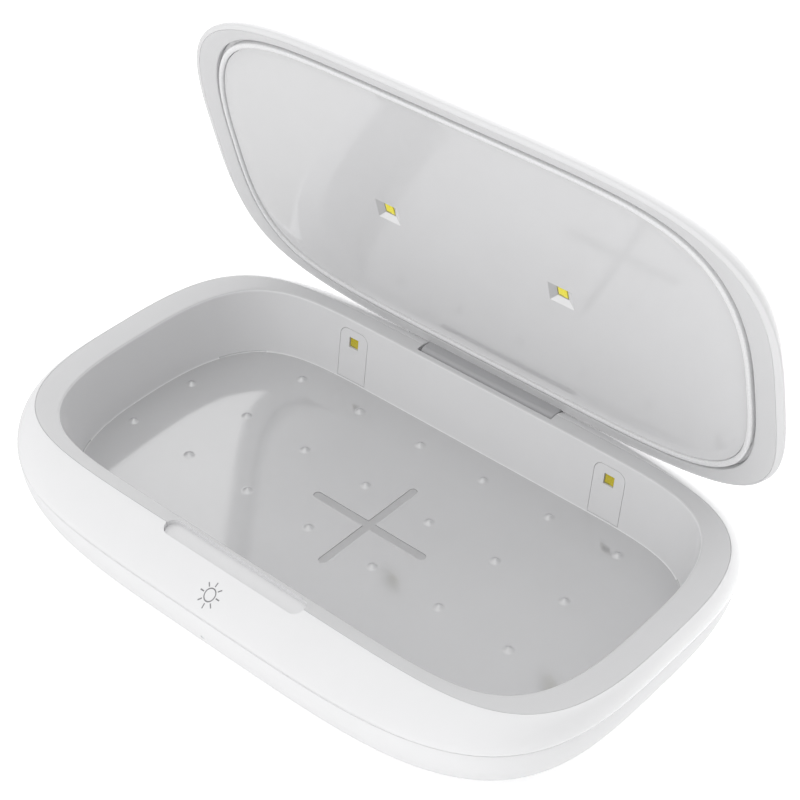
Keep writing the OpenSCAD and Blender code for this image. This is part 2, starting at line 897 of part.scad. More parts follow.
module hinge_tube() {
  color([0.72, 0.72, 0.74])
    in_lid()
      difference() {
        axle(pin_start, pin_end, axis_y, axis_z, pin_radius);
        axle(pin_start - 1, pin_end + 1, axis_y, axis_z, 0.8);
      }
}

module block_screws() {
  color([0.55, 0.55, 0.56])
    in_lid()
      for (x = [-20, 20])
        translate([x, block_screw_y, 36]) {
          cylinder(h = 4.4, r = 0.72, $fn = 24);
          translate([0, 0, 4.35])
            cylinder(h = 1.1, r = 1.7, $fn = 24);
        }
}

module lid_wire() {
  color([0.20, 0.20, 0.21])
    in_lid()
      lead_strip(0.4, 1);
}

lower_shell();
upper_casing();
tub();
charge_mark();
key_symbol();
lamp_cover_left();
lamp_cover_right();
wall_lamp_left();
wall_lamp_right();
wall_lamp_board_left();
wall_lamp_board_right();
charging_coil();
ferrite_sheet();
main_board();
usb_socket();
control_chip();
driver_chip();
power_inductor();
board_plug();
base_ribbon();
front_board();
touch_plug();
lid_sensor();
indicator_lamp();
light_pipe();
hinge_wire();
shell_screws();
rubber_feet();
lid_shell();
lid_frame();
lid_seal();
reflector();
lid_lamp_left();
lid_lamp_right();
lid_lamp_board();
lid_magnet();
hinge_block();
hinge_pin();
hinge_tube();
block_screws();
lid_wire();
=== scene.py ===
import math
import bmesh
import bpy
import numpy as np
from mathutils import Matrix, Vector


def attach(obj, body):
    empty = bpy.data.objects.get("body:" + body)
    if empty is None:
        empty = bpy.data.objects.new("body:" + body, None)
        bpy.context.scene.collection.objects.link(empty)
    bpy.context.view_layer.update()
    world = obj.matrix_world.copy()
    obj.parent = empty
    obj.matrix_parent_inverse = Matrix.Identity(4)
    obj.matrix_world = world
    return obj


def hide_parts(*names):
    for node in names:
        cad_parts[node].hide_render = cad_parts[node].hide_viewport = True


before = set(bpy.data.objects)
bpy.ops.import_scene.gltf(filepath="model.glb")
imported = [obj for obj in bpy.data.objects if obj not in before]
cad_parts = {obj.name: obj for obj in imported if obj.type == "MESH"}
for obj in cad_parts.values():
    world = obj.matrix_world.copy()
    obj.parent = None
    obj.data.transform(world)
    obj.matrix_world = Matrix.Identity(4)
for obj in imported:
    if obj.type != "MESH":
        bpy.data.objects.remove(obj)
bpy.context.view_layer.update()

MM = 0.001
POINTS = 256
FINE = 24

# ---------------------------------------------------------------------------
# Sizes of the box, in millimetres. They follow the CAD model, but for the
# drawing changes listed after them. Screw posts, bores and screw holes hidden
# inside the CAD pieces are not drawn.
# ---------------------------------------------------------------------------
BODY_LENGTH, BODY_WIDTH = 218.0, 142.6
PARTING, PARTING_GAP = 25.1, 0.2
WALL = 2.0
FOOT_DRAW = 23.0
RIM_LENGTH, RIM_WIDTH = 217.0, 112.6
OPENING_LENGTH, OPENING_WIDTH = 199.2, 103.4
RIM_HEIGHT, FLOOR = 34.0, 11.0
RIM_CREST = RIM_HEIGHT + 0.6
BUMP_PITCH, BUMP_HEIGHT = 26.0, 0.9
MARK_REACH, MARK_WIDTH = 22.6, 2.8
NOTCH_LENGTH, NOTCH_WIDTH, NOTCH_DEPTH, NOTCH_Y = 54.0, 5.8, 1.8, -56.3
LID_SWING = 75.2
LID_LENGTH, LID_WIDTH, LID_HEIGHT, LID_BACK = 216.7, 117.5, 14.0, 57.25
LID_ROUND, LID_INSET, LID_LOW = 1.61, 25.0, 0.8
POCKET_SPACING, POCKET_DEPTH = 66.0, 1.0
BLOCK_LENGTH = 53.2
LAMP_SIDE, LAMP_X, LAMP_Z = 3.5, 52.0, 25.6
RIM_SHAPE, PARTING_SHAPE = (6.7, 3.1), (4.1, 3.42)
OPENING_SHAPE, FLOOR_SHAPE = (7.9, 2.9), (8.0, 2.5)
LID_EDGE_SHAPE, LID_WIDE_SHAPE, LID_TOP_SHAPE = (5.0, 3.2, 4.0), (4.84, 2.95, 3.4), (4.5, 4.6, 3.0)
GROOVE_SHAPE = (6.1, 2.6, 3.3)
CASING_ROUND, DOME_ROUND = 1.25, 2.2
SOLE = 1.0
SEAM = 0.15
FLOOR_A, FLOOR_B = OPENING_LENGTH / 2 - 1.9, OPENING_WIDTH / 2 - 2.9
TUB_WALL = 1.8
TUB_UNDER = FLOOR - TUB_WALL
RIM_UNDER = RIM_CREST - 2.2
AXIS_Y, AXIS_Z = 56.5, 32.0
LID_SHIFT, JOINT_Z = -0.2, 35.4
SEAM_A, SEAM_B, SEAM_DRAW = (LID_LENGTH - 5) / 2, (LID_WIDTH - 3.5) / 2, 1.75
GROOVE_A, GROOVE_B, GROOVE_DRAW = 99.25, 54.3, 2.65
FRAME_THICK = 2.6
RISE = 1.1
RECESS_Y, RECESS_BACK, RECESS_HALF = 53.6, 62.4, BLOCK_LENGTH / 2 + 0.5
DRAFT = math.atan(2.9 / (RIM_HEIGHT - FLOOR))
LID_BACK_LOW, LID_BACK_FALL, LID_BACK_INSET = 3.2, 0.2, 50
FOOT_X, FOOT_Y = 68, 32
PIN_REACH = 38

# Drawing changes: two keep the looks inside the CAD box, the rest set how wide seams and edges look
END_SWELL = 1.89
LID_TRIM = 0.09
RIM_GROW, RIM_EDGE, RIM_BROW = 0.11, 0.2, 0.85
FLOOR_FILLET = 0.5
COVER_OPENING = 1.92
LID_GAP = 0.06
PART_EDGE = 0.22


# ---------------------------------------------------------------------------
# Outlines, lofts and booleans
# ---------------------------------------------------------------------------
def angles(count):
    """Angles around an outline, closer together where a superellipse turns fastest."""
    quarter = count // 4
    out = []
    for i in range(count):
        q, u = divmod(i, quarter)
        u /= quarter
        if q % 2 == 1:
            u = 1 - u
        s = 90 * u * u / (u * u + (1 - u) * (1 - u))
        out.append(math.radians(90 * q + s if q % 2 == 0 else 90 * (q + 1) - s))
    return np.array(out)


TURN = angles(POINTS)


def signed_power(v, e):
    v = np.where(np.abs(v) < 1e-9, 0, v)
    return np.sign(v) * np.abs(v) ** e


def outline(z, a, b, shape):
    """One closed outline of half length a and half width b at height z."""
    x = a * signed_power(np.cos(TURN), 2 / shape[0])
    y = b * signed_power(np.sin(TURN), 2 / shape[1])
    return np.stack([x, y, np.full(POINTS, float(z))], 1)


def mix(p, q, t):
    return p + (q - p) * t


def mix_shape(p, q, t):
    return tuple(mix(a, b, t) for a, b in zip(p, q))


def lid_outline(z, a, b, hinge_side, shape):
    """An outline with a half width and a roundness of its own on the hinge side."""
    c, n = np.cos(TURN), np.sin(TURN)
    x = a * signed_power(c, 2 / shape[0])
    y = np.where(n < 0, b * signed_power(n, 2 / shape[1]), hinge_side * signed_power(n, 2 / shape[2]))
    return np.stack([x, y, np.full(POINTS, float(z))], 1)


def seam_outline(z, grow, shape=None):
    return lid_outline(z, SEAM_A + grow, SEAM_B + grow, SEAM_B + grow - SEAM_DRAW, shape or LID_EDGE_SHAPE)


def groove_outline(z, grow):
    return lid_outline(z, GROOVE_A + grow, GROOVE_B + grow, GROOVE_B + grow - GROOVE_DRAW, GROOVE_SHAPE)


def between(a, b, steps):
    """Outlines strictly between two others."""
    return [mix(a, b, k / steps) for k in range(1, steps)]


def rounded(rings, steps):
    """A smooth run of outlines through the given ones."""
    out = []
    for k in range(len(rings) - 1):
        p1, p2 = rings[k], rings[k + 1]
        p0 = rings[k - 1] if k > 0 else 2 * p1 - p2
        p3 = rings[k + 2] if k + 2 < len(rings) else 2 * p2 - p1
        for s in range(steps):
            t = s / steps
            out.append(0.5 * (2 * p1 + (p2 - p0) * t + (2 * p0 - 5 * p1 + 4 * p2 - p3) * t * t
                              + (3 * p1 - p0 - 3 * p2 + p3) * t ** 3))
    out.append(rings[-1])
    return out


def link(mesh, name):
    obj = bpy.data.objects.new(name, mesh)
    bpy.context.scene.collection.objects.link(obj)
    return obj


def mesh_object(name, points, faces):
    mesh = bpy.data.meshes.new(name)
    mesh.from_pydata([tuple(p * MM) for p in points], [], faces)
    mesh.validate()
    bm = bmesh.new()
    bm.from_mesh(mesh)
    bmesh.ops.recalc_face_normals(bm, faces=bm.faces)
    bm.to_mesh(mesh)
    bm.free()
    return link(mesh, name)


def loft(name, rings, closed=False):
    """Solid through a list of outlines: capped at both ends, or a closed hoop."""
    n = len(rings[0])
    last = len(rings) - 1
    faces = []
    for k in range(last + (1 if closed else 0)):
        a, b = k * n, ((k + 1) % (last + 1)) * n
        for i in range(n):
            j = (i + 1) % n
            faces.append((a + i, a + j, b + j, b + i))
    if not closed:
        faces.append(tuple(range(n - 1, -1, -1)))
        faces.append(tuple(last * n + i for i in range(n)))
    return mesh_object(name, np.concatenate(rings), faces)


def extrude(name, profile, vector):
    """Straight solid from a closed list of points, moved along a vector."""
    p = np.array(profile, float)
    n = len(p)
    points = np.concatenate([p, p + np.array(vector, float)])
    faces = [(i, (i + 1) % n, n + (i + 1) % n, n + i) for i in range(n)]
    faces += [tuple(range(n - 1, -1, -1)), tuple(range(n, 2 * n))]
    return mesh_object(name, points, faces)


def box(name, low, high):
    x0, y0, z0 = low
    x1, y1, z1 = high
    return extrude(name, [(x0, y0, z0), (x1, y0, z0), (x1, y1, z0), (x0, y1, z0)], (0, 0, z1 - z0))


def lathe(name, profile, centre, axis="Z", count=48):
    """Solid of revolution of (radius, height) points about an axis through centre."""
    points, faces = [], []
    n = len(profile)
    for i in range(count):
        t = 2 * math.pi * i / count
        for r, h in profile:
            p = {"Z": (r * math.cos(t), r * math.sin(t), h),
                 "X": (h, r * math.cos(t), r * math.sin(t)),
                 "Y": (r * math.sin(t), h, r * math.cos(t))}[axis]
            points.append(p)
    for i in range(count):
        j = (i + 1) % count
        for k in range(n - 1):
            faces.append((i * n + k, j * n + k, j * n + k + 1, i * n + k + 1))
    if profile[0][0] > 1e-6:
        faces.append(tuple(i * n for i in range(count)))
    if profile[-1][0] > 1e-6:
        faces.append(tuple(i * n + n - 1 for i in range(count)))
    obj = mesh_object(name, np.array(points) + np.array(centre, float), faces)
    bm = bmesh.new()
    bm.from_mesh(obj.data)
    bmesh.ops.remove_doubles(bm, verts=bm.verts, dist=1e-7)
    bmesh.ops.recalc_face_normals(bm, faces=bm.faces)
    bm.to_mesh(obj.data)
    bm.free()
    return obj


def rod(name, x0, x1, y, z, r, count=64):
    return lathe(name, [(r, x0), (r, x1)], (0, y, z), "X", count)


def slot_points(length, width, count=24):
    """Outline of a flat bar with round ends, in its own plane."""
    h, r = length / 2 - width / 2, width / 2
    out = []
    for i in range(count + 1):
        t = -math.pi / 2 + math.pi * i / count
        out.append((h + r * math.cos(t), r * math.sin(t)))
    for i in range(count + 1):
        t = math.pi / 2 + math.pi * i / count
        out.append((-h + r * math.cos(t), r * math.sin(t)))
    return out


def combine(obj, others, kind):
    """Boolean of obj with each of the others, applied to its mesh."""
    for other in others:
        mod = obj.modifiers.new("cut", "BOOLEAN")
        mod.operation = kind
        mod.solver = "EXACT"
        mod.object = other
    apply(obj)
    drop(*others)
    return obj


def apply(obj):
    depsgraph = bpy.context.evaluated_depsgraph_get()
    depsgraph.update()
    mesh = bpy.data.meshes.new_from_object(obj.evaluated_get(depsgraph))
    obj.modifiers.clear()
    old = obj.data
    obj.data = mesh
    mesh.name = obj.name
    bpy.data.meshes.remove(old)
    return obj


def drop(*objects):
    for o in objects:
        data = o.data
        bpy.data.objects.remove(o)
        if data.users == 0:
            bpy.data.meshes.remove(data)


def join(name, objects):
    """One object from several, without a boolean."""
    bm = bmesh.new()
    for o in objects:
        bm.from_mesh(o.data)
    mesh = bpy.data.meshes.new(name)
    bm.to_mesh(mesh)
    bm.free()
    drop(*objects)
    return link(mesh, name)


def smooth(obj, angle=32):
    """Smooth shading, with the large flat faces and all in line with them left flat."""
    large = [p.normal.copy() for p in obj.data.polygons if p.area > 60 * MM * MM]
    for p in obj.data.polygons:
        p.use_smooth = not any(p.normal.dot(n) > 0.999998 for n in large[:12])
    obj.data.set_sharp_from_angle(angle=math.radians(angle))
    return obj


def transform(obj, matrix):
    obj.data.transform(matrix)
    return obj


HINGE = (Matrix.Translation((0, AXIS_Y * MM, AXIS_Z * MM))
         @ Matrix.Rotation(-math.radians(LID_SWING), 4, "X")
         @ Matrix.Translation((0, -AXIS_Y * MM, -AXIS_Z * MM)))


def open_lid(obj):
    """Swings a piece drawn on the closed lid to the open stop, where the lid rests."""
    return transform(obj, HINGE)


def on_joint(rings):
    return [r + np.array([0, LID_SHIFT, JOINT_Z]) for r in rings]


# ---------------------------------------------------------------------------
# Materials
# ---------------------------------------------------------------------------
def linear(v):
    v /= 255
    return v / 12.92 if v <= 0.04045 else ((v + 0.055) / 1.055) ** 2.4


def colour(r, g, b):
    return (linear(r), linear(g), linear(b), 1)


class Nodes:
    """Short names for building a node tree."""

    def __init__(self, name):
        self.material = bpy.data.materials.new(name)
        self.material.use_nodes = True
        self.tree = self.material.node_tree
        self.shader = self.tree.nodes["Principled BSDF"]
        self.place = self.new("ShaderNodeTexCoord").outputs["Object"]

    def new(self, kind, **values):
        node = self.tree.nodes.new(kind)
        for k, v in values.items():
            setattr(node, k, v)
        return node

    def wire(self, a, b):
        self.tree.links.new(a, b)

    def noise(self, scale, detail=3.0, roughness=0.55, place=None):
        n = self.new("ShaderNodeTexNoise")
        n.inputs["Scale"].default_value = scale
        n.inputs["Detail"].default_value = detail
        n.inputs["Roughness"].default_value = roughness
        self.wire(place or self.place, n.inputs["Vector"])
        return n.outputs["Fac"]

    def remap(self, value, low, high, to_low, to_high):
        n = self.new("ShaderNodeMapRange")
        n.inputs["From Min"].default_value = low
        n.inputs["From Max"].default_value = high
        n.inputs["To Min"].default_value = to_low
        n.inputs["To Max"].default_value = to_high
        self.wire(value, n.inputs["Value"])
        return n.outputs["Result"]

    def blend(self, factor, a, b):
        n = self.new("ShaderNodeMix", data_type="RGBA")
        self.wire(factor, n.inputs["Factor"])
        for value, socket in ((a, n.inputs["A"]), (b, n.inputs["B"])):
            if isinstance(value, tuple):
                socket.default_value = value
            else:
                self.wire(value, socket)
        return n.outputs["Result"]

    def bump(self, height, strength, distance):
        n = self.new("ShaderNodeBump")
        n.inputs["Strength"].default_value = strength
        n.inputs["Distance"].default_value = distance
        self.wire(height, n.inputs["Height"])
        return n.outputs["Normal"]

    def set(self, socket, value):
        if isinstance(value, (int, float, tuple)):
            self.shader.inputs[socket].default_value = value
        else:
            self.wire(value, self.shader.inputs[socket])


def moulded(name, tone, rough, spread, grain, grain_size, coat=0.0, mottle=3.0, mirror=0.0):
    """Moulded plastic: faint flow mottling, spark-erosion grain and, if glossy, a hard even skin."""
    n = Nodes(name)
    slow = n.noise(34, 4.0, 0.6)
    cloud = n.remap(slow, 0.3, 0.7, 0, 1)
    light = colour(*[min(255, c + mottle) for c in tone])
    dark = colour(*[c - mottle for c in tone])
    n.set("Base Color", n.blend(cloud, dark, light))
    fine = n.noise(1000 / grain_size * 0.5, 2.0, 0.5)
    mid = n.noise(420, 3.0, 0.6)
    n.set("Roughness", n.remap(mid, 0.3, 0.7, rough - spread, rough + spread))
    normal = n.bump(fine, 0.10 * grain, 0.00010)
    n.set("Normal", normal)
    n.set("Metallic", mirror)
    n.set("Coat Weight", coat)
    n.set("Coat Roughness", 0.03)
    return n.material


def metal(name, tone, rough, stretch=(1, 1, 1)):
    """Turned or plated metal with fine machining lines."""
    n = Nodes(name)
    m = n.new("ShaderNodeMapping")
    m.inputs["Scale"].default_value = stretch
    n.wire(n.place, m.inputs["Vector"])
    lines = n.noise(900, 3.0, 0.6, place=m.outputs["Vector"])
    n.set("Base Color", n.blend(n.remap(lines, 0.3, 0.7, 0, 1),
                                colour(*[c - 14 for c in tone]), colour(*tone)))
    n.set("Metallic", 1.0)
    n.set("Roughness", n.remap(lines, 0.3, 0.7, rough - 0.06, rough + 0.08))
    n.set("Normal", n.bump(lines, 0.12, 0.0001))
    return n.material


def board(name, tone, track):
    """Circuit board: solder mask over faint copper tracks."""
    n = Nodes(name)
    wave = n.new("ShaderNodeTexBrick")
    wave.inputs["Scale"].default_value = 190
    wave.inputs["Mortar Size"].default_value = 0.06
    wave.inputs["Color1"].default_value = colour(*tone)
    wave.inputs["Color2"].default_value = colour(*[c + 6 for c in tone])
    wave.inputs["Mortar"].default_value = colour(*track)
    n.wire(n.place, wave.inputs["Vector"])
    n.set("Base Color", wave.outputs["Color"])
    n.set("Roughness", n.remap(n.noise(700), 0.3, 0.7, 0.32, 0.46))
    n.set("Normal", n.bump(wave.outputs["Fac"], 0.3, 0.00005))
    return n.material


def emitter(name, dark, light, glow):
    """Lamp window: yellow phosphor under clear resin, in fine grains."""
    n = Nodes(name)
    grains = n.noise(5200, 2.0, 0.6)
    n.set("Base Color", n.blend(n.remap(grains, 0.3, 0.7, 0, 1), colour(*dark), colour(*light)))
    n.set("Roughness", n.remap(grains, 0.3, 0.7, 0.22, 0.38))
    n.set("Normal", n.bump(grains, 0.15, 0.00005))
    n.set("Coat Weight", 0.6)
    n.set("Coat Roughness", 0.08)
    n.set("Emission Color", colour(*light))
    n.set("Emission Strength", glow)
    return n.material


def rubber(name, tone, rough=0.75):
    n = Nodes(name)
    speck = n.noise(1900, 3.0, 0.65)
    n.set("Base Color", n.blend(n.remap(speck, 0.3, 0.7, 0, 1),
                                colour(*[c - 6 for c in tone]), colour(*[c + 6 for c in tone])))
    n.set("Roughness", n.remap(n.noise(300), 0.3, 0.7, rough - 0.06, rough + 0.06))
    n.set("Normal", n.bump(speck, 0.35, 0.0001))
    n.set("Specular IOR Level", 0.35)
    return n.material


GLOSS = moulded("gloss_white_skin", (230, 230, 231), 0.12, 0.02, 0.03, 0.6, mottle=1.0)
LID_GLOSS = moulded("lid_white_skin", (220, 220, 221), 0.14, 0.02, 0.03, 0.6, mottle=1.0)
SHELL = moulded("satin_white_plastic", (228, 228, 229), 0.40, 0.03, 0.5, 0.28, mottle=1.2)
RIM = moulded("tub_rim_plastic", (206, 206, 207), 0.42, 0.03, 0.5, 0.3, mottle=1.2)
# Lighter copy of the tub plastic for the tub walls and lamp covers: painted light
WALL_PAINTED_LIGHT = moulded("tub_wall_painted_light", (226, 226, 227), 0.22, 0.02, 0.1, 0.4, mottle=1.0)
FLOOR_SKIN = moulded("tub_floor_gloss", (206, 206, 207), 0.09, 0.01, 0.02, 0.6, mottle=1.0, mirror=0.34)
# Lighter copy of the rim plastic for the finger notch: painted light that lifts the notch's shadow
NOTCH_PAINTED_LIGHT = moulded("notch_painted_light", (222, 222, 223), 0.42, 0.03, 0.5, 0.3, mottle=1.2)
FRAME = moulded("frame_grey_plastic", (208, 208, 209), 0.38, 0.03, 0.4, 0.3, mottle=1.2)
SEAL = rubber("seal_pale_rubber", (226, 226, 227), 0.45)
PANEL = moulded("reflector_gloss_panel", (226, 226, 227), 0.07, 0.01, 0.02, 0.6, mottle=1.0, mirror=0.28)
# Darker copy of the panel plastic for the pocket facets that face right: painted shade
POCKET_PAINTED_SHADE = moulded("lamp_pocket_painted_shade", (188, 188, 189), 0.3, 0.02, 0.1, 0.6, mottle=1.0)
BLOCK = moulded("hinge_block_plastic", (180, 180, 182), 0.42, 0.03, 0.6, 0.3, mottle=1.5)
MARK = moulded("mark_grey_inlay", (184, 184, 185), 0.5, 0.04, 1.0, 0.25, mottle=3)
INK = moulded("key_print_ink", (128, 128, 130), 0.5, 0.05, 0.8, 0.2, mottle=6)
CERAMIC = moulded("lamp_base_ceramic", (150, 142, 60), 0.5, 0.05, 1.0, 0.15, mottle=8)
PHOSPHOR = emitter("lamp_phosphor_window", (226, 212, 30), (244, 232, 64), 0.1)
DARK_PHOSPHOR = emitter("wall_lamp_window", (188, 170, 0), (208, 192, 6), 0.0)
GREEN = board("board_green_mask", (18, 92, 54), (60, 130, 70))
PALE_BOARD = board("board_white_mask", (228, 228, 222), (206, 206, 198))
CHIP = moulded("chip_black_mould", (30, 30, 32), 0.55, 0.05, 1.2, 0.2, mottle=3)
COPPER = metal("coil_enamelled_copper", (196, 118, 70), 0.3)
FERRITE = moulded("ferrite_sinter", (52, 52, 54), 0.62, 0.05, 1.5, 0.2, mottle=4)
STEEL = metal("plated_steel", (196, 196, 200), 0.28, (1, 6, 6))
SCREW = metal("zinc_screw", (168, 168, 172), 0.34)
PLUG = moulded("plug_cream_plastic", (238, 238, 228), 0.45, 0.04, 0.8, 0.25)
FOOT = rubber("foot_soft_rubber", (84, 84, 85))
WIRE = rubber("wire_black_sleeve", (46, 46, 48), 0.55)
FOAM = rubber("key_foam", (78, 78, 80), 0.85)
CLEAR = moulded("light_pipe_plastic", (226, 230, 232), 0.2, 0.03, 0.2, 0.3, coat=1.0)


def paint(obj, material):
    obj.data.materials.clear()
    obj.data.materials.append(material)
    return obj


def finish_piece(obj, material, body, slot, *nodes, angle=32):
    """Smooths and paints a piece, rides it on its body and lets it stand for CAD nodes."""
    smooth(obj, angle)
    paint(obj, material)
    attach(obj, body)
    if nodes:
        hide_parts(*nodes)
    return obj


# ---------------------------------------------------------------------------
# Base casing
# ---------------------------------------------------------------------------
def casing_ring(t, inward, grow=0.0):
    """Outer face of the upper casing, from the rim at 0 to the parting line at 90 degrees."""
    t = math.radians(t)
    u, w = math.sin(t) ** (2 / CASING_ROUND), max(math.cos(t), 0) ** (2 / CASING_ROUND)
    a0, b0 = RIM_LENGTH / 2 + SEAM, RIM_WIDTH / 2 + SEAM
    a1, b1 = BODY_LENGTH / 2 - inward, BODY_WIDTH / 2 - inward
    return outline(PARTING + (RIM_CREST - inward - PARTING) * w + grow,
                   mix(a0, a1, u) + END_SWELL * math.sin(2 * t) + grow,
                   mix(b0, b1, u) + grow, mix_shape(RIM_SHAPE, PARTING_SHAPE, u))


def shell_ring(t, inward):
    """Lower shell, from the bottom at 0 to the parting line at 90 degrees."""
    t = math.radians(t)
    top, low = PARTING - PARTING_GAP, SOLE + inward
    draw = FOOT_DRAW * (1 - math.sin(t) ** (2 / DOME_ROUND))
    rise = 1 - max(math.cos(t), 0) ** (2 / DOME_ROUND)
    return outline(low + (top - low) * rise, BODY_LENGTH / 2 - inward - draw,
                   BODY_WIDTH / 2 - inward - draw, PARTING_SHAPE)


def notch_solid(name, grow, z0, height=10.0):
    """Bar with round ends that cuts the finger notch."""
    profile = [(x, NOTCH_Y + y, z0) for x, y in slot_points(NOTCH_LENGTH + 2 * grow, NOTCH_WIDTH + 2 * grow)]
    return extrude(name, profile, (0, 0, height))


def build_lower_shell():
    top, lip = PARTING - PARTING_GAP, PARTING - 2
    a, b = BODY_LENGTH / 2, BODY_WIDTH / 2
    rings = [shell_ring(90 * (k / FINE) ** 1.3, 0) for k in range(FINE)]
    edge = PART_EDGE
    for k in range(5):
        s = math.radians(90 * k / 4)
        rings.append(outline(top - edge + edge * math.sin(s), a - edge + edge * math.cos(s),
                             b - edge + edge * math.cos(s), PARTING_SHAPE))
    rings += [outline(top, a - 0.9, b - 0.9, PARTING_SHAPE), outline(lip, a - 0.9, b - 0.9, PARTING_SHAPE),
              outline(lip, a - WALL, b - WALL, PARTING_SHAPE)]
    rings += [shell_ring(80 * k / 8, WALL) for k in range(8, -1, -1)]
    shell = loft("base.lower_shell", rings)
    cutters = []
    recess = [(0, 0), (6.1, 0), (6.1, 2), (2.6, 2), (2.6, 3.7), (0, 3.7)]
    for x in (-FOOT_X, FOOT_X):
        for y in (-FOOT_Y, FOOT_Y):
            cutters.append(lathe("c", recess, (x, y, 0)))
    cutters.append(lathe("c", [(0.75, -76), (0.75, -60)], (0, 0, 16), "Y", 32))
    port = [(x, 62, 15.25 + z) for x, z in slot_points(9.6, 3.8)]
    cutters.append(extrude("c", port, (0, 12, 0)))
    combine(shell, cutters, "DIFFERENCE")
    return finish_piece(shell, SHELL, "base", "satin_white", "lower_shell")


def casing_block(name, low, high):
    """The part of the casing's outer shape that lies inside a box."""
    steps = [casing_ring(90 * k / 12, 0) for k in range(12, -1, -1)]
    body = loft(name, steps)
    return combine(body, [box("c", low, high)], "INTERSECT")


def build_upper_casing():
    a, b = BODY_LENGTH / 2, BODY_WIDTH / 2
    ledge, tongue = RIM_UNDER - 0.1, PARTING - 1.8
    edge = PART_EDGE
    rings = []
    for k in range(5):
        s = math.radians(90 * k / 4)
        rings.append(outline(PARTING + edge - edge * math.cos(s), a - edge + edge * math.sin(s),
                             b - edge + edge * math.sin(s), PARTING_SHAPE))
    steps = 2 * FINE
    rings += [casing_ring(90 - 90 * k / steps, 0) for k in range(1, steps)]
    lip_a, lip_b = RIM_LENGTH / 2 + SEAM, RIM_WIDTH / 2 + SEAM
    rings += [outline(RIM_CREST - 0.06, lip_a + 0.16, lip_b + 0.16, RIM_SHAPE),
              outline(RIM_CREST - 0.02, lip_a + 0.08, lip_b + 0.08, RIM_SHAPE),
              outline(RIM_CREST - 0.12, lip_a + 0.01, lip_b + 0.01, RIM_SHAPE)]
    rings += [outline(ledge, lip_a, lip_b, RIM_SHAPE), outline(ledge, lip_a - 1.95, lip_b - 1.95, RIM_SHAPE),
              outline(ledge - 1.4, lip_a - 1.95, lip_b - 1.95, RIM_SHAPE)]
    rings += [casing_ring(15 * k, WALL) for k in range(1, 7)]
    rings += [outline(tongue, a - WALL, b - WALL, PARTING_SHAPE),
              outline(tongue, a - 1.05, b - 1.05, PARTING_SHAPE),
              outline(PARTING, a - 1.05, b - 1.05, PARTING_SHAPE)]
    casing = loft("base.upper_casing", rings, closed=True)
    back = RECESS_BACK + 1.4
    combine(casing, [casing_block("c", (-PIN_REACH, RECESS_Y + 0.25, 27.4), (PIN_REACH, back, ledge)),
                     casing_block("c", (-PIN_REACH, RIM_WIDTH / 2 + 0.4, 27.4), (PIN_REACH, back, 40)),
                     rod("c", RECESS_HALF, PIN_REACH, AXIS_Y, AXIS_Z, 1.9),
                     rod("c", -PIN_REACH, -RECESS_HALF, AXIS_Y, AXIS_Z, 1.9)], "UNION")
    combine(casing, [box("c", (-RECESS_HALF, 50, 29.2), (RECESS_HALF, RECESS_BACK, 40)),
                     rod("c", -36.4, 36.4, AXIS_Y, AXIS_Z, 1.23),
                     notch_solid("c", SEAM, RIM_CREST - 4.6)], "DIFFERENCE")
    return finish_piece(casing, GLOSS, "base", "gloss_white", "upper_casing")


# ---------------------------------------------------------------------------
# Tub with its rim, floor bumps, notch and lamp covers
# ---------------------------------------------------------------------------
def tub_solid(name):
    """The whole moulding, rim, wall and floor, as one solid."""
    a, b = OPENING_LENGTH / 2, OPENING_WIDTH / 2
    ra, rb = RIM_LENGTH / 2 + RIM_GROW, RIM_WIDTH / 2 + RIM_GROW
    rings = [outline(TUB_UNDER, FLOOR_A - 1.2, FLOOR_B - 1.2, FLOOR_SHAPE),
             outline(TUB_UNDER + 1.2, FLOOR_A + 1, FLOOR_B + 1, FLOOR_SHAPE),
             outline(RIM_UNDER, a + TUB_WALL, b + TUB_WALL, OPENING_SHAPE),
             outline(RIM_UNDER, ra, rb, RIM_SHAPE)]
    edge = RIM_EDGE
    for k in range(6):
        s = math.radians(90 * k / 5)
        rings.append(outline(RIM_CREST - edge + edge * math.sin(s), ra - edge + edge * math.cos(s),
                             rb - edge + edge * math.cos(s), RIM_SHAPE))
    crest = rings[-1]
    brow = RIM_BROW
    lip = []
    for k in range(9):
        s = math.radians(90 * k / 8)
        lip.append(outline(RIM_HEIGHT + 0.05 - brow + brow * math.cos(s), a + brow - brow * math.sin(s),
                           b + brow - brow * math.sin(s), OPENING_SHAPE))
    rings += between(crest, lip[0], 10) + lip
    fillet = FLOOR_FILLET
    foot = []
    for k in range(9):
        s = math.radians(84 * k / 8 + 6)
        foot.append(outline(FLOOR + fillet - fillet * math.sin(s),
                            FLOOR_A + 0.1 - fillet + fillet * math.cos(s),
                            FLOOR_B + 0.1 - fillet + fillet * math.cos(s), FLOOR_SHAPE))
    rings += between(lip[-1], foot[0], 14) + foot
    return loft(name, rings)


def cover_prism(name, x, grow):
    """Upright prism with a round top, the outline of a lamp cover in the back wall."""
    half, top, foot, corner = 5.75 + grow, 30.3 + grow, FLOOR + 0.6 - grow, 3.0 + grow
    profile = [(x - half, 60, foot), (x + half, 60, foot)]
    for k in range(13):
        s = math.radians(90 * k / 12)
        profile.append((x + half - corner + corner * math.cos(s), 60, top - corner + corner * math.sin(s)))
    for k in range(13):
        s = math.radians(90 + 90 * k / 12)
        profile.append((x - half + corner + corner * math.cos(s), 60, top - corner + corner * math.sin(s)))
    return extrude(name, profile, (0, -13.6, 0))


def bump(x, y):
    """Rest bump: a small dome that flows into the floor."""
    r, h = 1.75, BUMP_HEIGHT
    profile = [(0.0, h)]
    for k in range(1, 15):
        s = k / 14
        profile.append((r * 1.25 * s, h * (0.5 + 0.5 * math.cos(math.pi * s)) ** 1.25))
    profile = [(q, z + FLOOR + 0.004) for q, z in profile]
    profile += [(r * 1.25, FLOOR - 0.4), (0.0, FLOOR - 0.4)]
    return lathe("c", profile, (x, y, 0), "Z", 40)


